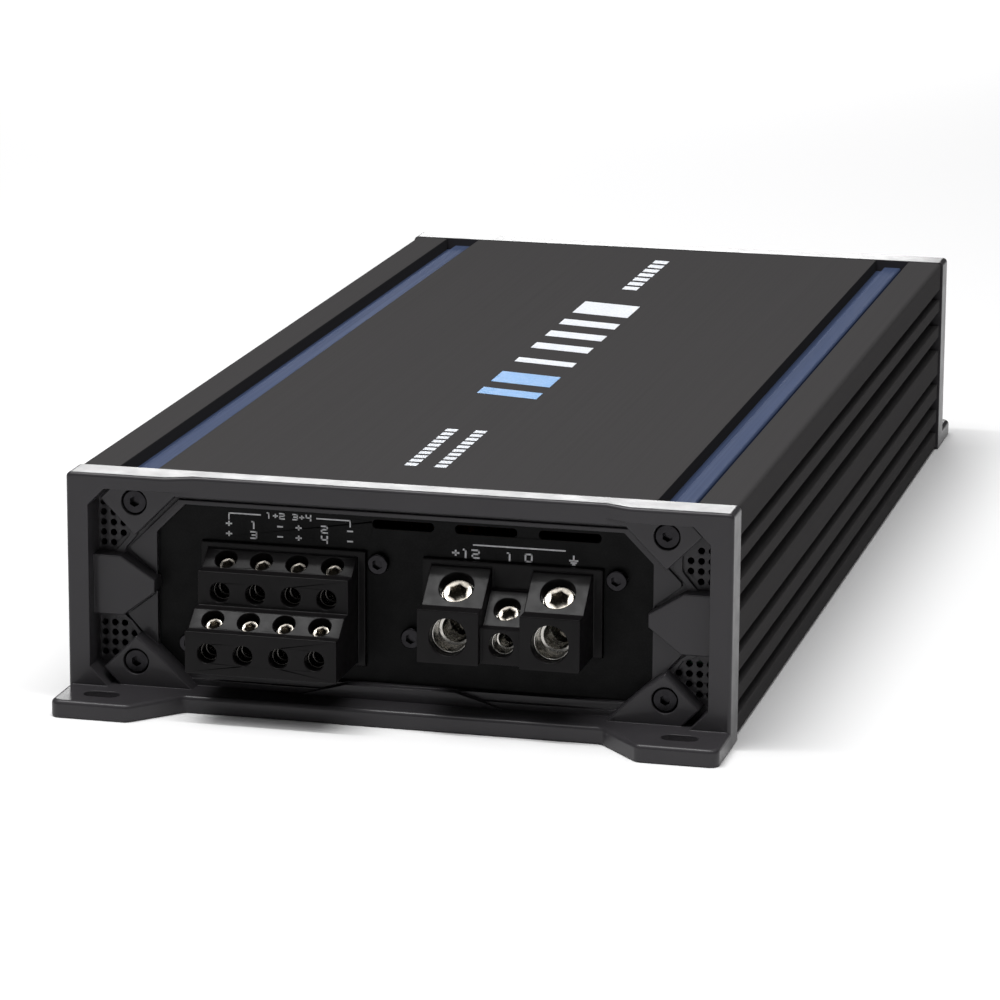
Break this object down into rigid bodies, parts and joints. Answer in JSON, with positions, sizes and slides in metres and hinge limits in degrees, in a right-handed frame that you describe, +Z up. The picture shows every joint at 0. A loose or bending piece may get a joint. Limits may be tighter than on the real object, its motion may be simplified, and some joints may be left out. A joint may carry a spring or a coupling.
{
  "type": "car power amplifier",
  "caption": "Low finned metal case with stepped end frames and slotted feet; speaker and power screw terminals at one end, input jacks and level controls at the other.",
  "frame": {"origin": "middle of the footprint, on the plane that the feet stand on", "axes": "+X across the case, +Y from the terminal end to the control end, +Z up"},
  "size_m": [0.176, 0.39, 0.0614],
  "materials": {
    "gunmetal_enamel": "satin gunmetal coating on aluminium",
    "blue_anodised": "blue anodised satin",
    "black_steel": "black powder coat",
    "black_screw": "black oxide",
    "terminal_plastic": "moulded black",
    "nickel": "nickel plate",
    "set_screw_nickel": "bright nickel plate",
    "board": "green solder mask",
    "control_plastic": "moulded black",
    "jack_gold": "gold plate",
    "pot_metal": "stamped",
    "copper_winding": "enamelled copper wire",
    "capacitor_can": "sleeved can",
    "device_plastic": "epoxy",
    "silicone_pad": "grey silicone",
    "lens": "tinted lens"
  },
  "bodies": {
    "case": {"board_screws": "nickel", "board_standoffs": "nickel", "bottom_cover": "black_steel", "circuit_board": "board", "clamp_screws": "nickel", "control_board": "board", "control_panel": "black_steel", "cover_screws": "black_screw", "front_bezel": "gunmetal_enamel", "front_bezel_screws": "black_screw", "front_grilles": "gunmetal_enamel", "heatsink_body": "gunmetal_enamel", "high_level_socket": "control_plastic", "output_inductors": "copper_winding", "panel_screws": "black_screw", "potentiometers": "pot_metal", "power_led": "lens", "power_terminal_clamps": "nickel", "power_terminal_housing": "terminal_plastic", "power_transformer": "copper_winding", "power_transistors": "device_plastic", "protect_led": "lens", "rca_jack_barrels": "jack_gold", "rca_jack_block": "control_plastic", "rear_bezel": "gunmetal_enamel", "rear_bezel_screws": "black_screw", "rear_grilles": "gunmetal_enamel", "reservoir_capacitors": "capacitor_can", "socket_pins": "nickel", "speaker_terminal_clamps": "nickel", "speaker_terminal_housing": "terminal_plastic", "standoff_screws": "nickel", "switch_bodies": "control_plastic", "terminal_panel": "black_steel", "thermal_pads": "silicone_pad", "transistor_clamps": "nickel", "trim_strip_left": "blue_anodised", "trim_strip_right": "blue_anodised"},
    "speaker_screw_1": {"speaker_screw_1": "set_screw_nickel"},
    "speaker_screw_2": {"speaker_screw_2": "set_screw_nickel"},
    "speaker_screw_3": {"speaker_screw_3": "set_screw_nickel"},
    "speaker_screw_4": {"speaker_screw_4": "set_screw_nickel"},
    "speaker_screw_5": {"speaker_screw_5": "set_screw_nickel"},
    "speaker_screw_6": {"speaker_screw_6": "set_screw_nickel"},
    "speaker_screw_7": {"speaker_screw_7": "set_screw_nickel"},
    "speaker_screw_8": {"speaker_screw_8": "set_screw_nickel"},
    "power_screw_battery": {"power_screw_battery": "set_screw_nickel"},
    "power_screw_remote": {"power_screw_remote": "set_screw_nickel"},
    "power_screw_ground": {"power_screw_ground": "set_screw_nickel"},
    "gain_knob_ab": {"gain_knob_ab": "control_plastic"},
    "filter_knob_ab": {"filter_knob_ab": "control_plastic"},
    "gain_knob_cd": {"gain_knob_cd": "control_plastic"},
    "filter_knob_cd": {"filter_knob_cd": "control_plastic"},
    "bass_knob": {"bass_knob": "control_plastic"},
    "filter_switch_ab": {"filter_switch_ab": "control_plastic"},
    "filter_switch_cd": {"filter_switch_cd": "control_plastic"},
    "input_mode_switch": {"input_mode_switch": "control_plastic"}
  },
  "joints": [
    {"name": "speaker_screw_1_travel", "type": "slide", "parent": "case", "child": "speaker_screw_1", "axis": [0, -0.6157, 0.788], "range_m": [-0.0033, 0.001]},
    {"name": "speaker_screw_2_travel", "type": "slide", "parent": "case", "child": "speaker_screw_2", "axis": [0, -0.6157, 0.788], "range_m": [-0.0033, 0.001]},
    {"name": "speaker_screw_3_travel", "type": "slide", "parent": "case", "child": "speaker_screw_3", "axis": [0, -0.6157, 0.788], "range_m": [-0.0033, 0.001]},
    {"name": "speaker_screw_4_travel", "type": "slide", "parent": "case", "child": "speaker_screw_4", "axis": [0, -0.6157, 0.788], "range_m": [-0.0033, 0.001]},
    {"name": "speaker_screw_5_travel", "type": "slide", "parent": "case", "child": "speaker_screw_5", "axis": [0, -0.6157, 0.788], "range_m": [-0.0033, 0.001]},
    {"name": "speaker_screw_6_travel", "type": "slide", "parent": "case", "child": "speaker_screw_6", "axis": [0, -0.6157, 0.788], "range_m": [-0.0033, 0.001]},
    {"name": "speaker_screw_7_travel", "type": "slide", "parent": "case", "child": "speaker_screw_7", "axis": [0, -0.6157, 0.788], "range_m": [-0.0033, 0.001]},
    {"name": "speaker_screw_8_travel", "type": "slide", "parent": "case", "child": "speaker_screw_8", "axis": [0, -0.6157, 0.788], "range_m": [-0.0033, 0.001]},
    {"name": "power_screw_battery_travel", "type": "slide", "parent": "case", "child": "power_screw_battery", "axis": [0, -0.6561, 0.7547], "range_m": [-0.0055, 0.001]},
    {"name": "power_screw_remote_travel", "type": "slide", "parent": "case", "child": "power_screw_remote", "axis": [0, -0.6561, 0.7547], "range_m": [-0.0035, 0.001]},
    {"name": "power_screw_ground_travel", "type": "slide", "parent": "case", "child": "power_screw_ground", "axis": [0, -0.6561, 0.7547], "range_m": [-0.0055, 0.001]},
    {"name": "gain_knob_ab_turn", "type": "hinge", "parent": "case", "child": "gain_knob_ab", "pos_m": [0.02, 0.17, 0.038], "axis": [0, 1, 0], "range_deg": [-140, 140]},
    {"name": "filter_knob_ab_turn", "type": "hinge", "parent": "case", "child": "filter_knob_ab", "pos_m": [0.006, 0.17, 0.038], "axis": [0, 1, 0], "range_deg": [-140, 140]},
    {"name": "gain_knob_cd_turn", "type": "hinge", "parent": "case", "child": "gain_knob_cd", "pos_m": [-0.012, 0.17, 0.038], "axis": [0, 1, 0], "range_deg": [-140, 140]},
    {"name": "filter_knob_cd_turn", "type": "hinge", "parent": "case", "child": "filter_knob_cd", "pos_m": [-0.026, 0.17, 0.038], "axis": [0, 1, 0], "range_deg": [-140, 140]},
    {"name": "bass_knob_turn", "type": "hinge", "parent": "case", "child": "bass_knob", "pos_m": [-0.044, 0.17, 0.038], "axis": [0, 1, 0], "range_deg": [-140, 140]},
    {"name": "filter_switch_ab_slide", "type": "slide", "parent": "case", "child": "filter_switch_ab", "axis": [1, 0, 0], "range_m": [-0.002, 0.002]},
    {"name": "filter_switch_cd_slide", "type": "slide", "parent": "case", "child": "filter_switch_cd", "axis": [1, 0, 0], "range_m": [-0.002, 0.002]},
    {"name": "input_mode_switch_slide", "type": "slide", "parent": "case", "child": "input_mode_switch", "axis": [1, 0, 0], "range_m": [0, 0.004]}
  ]
}
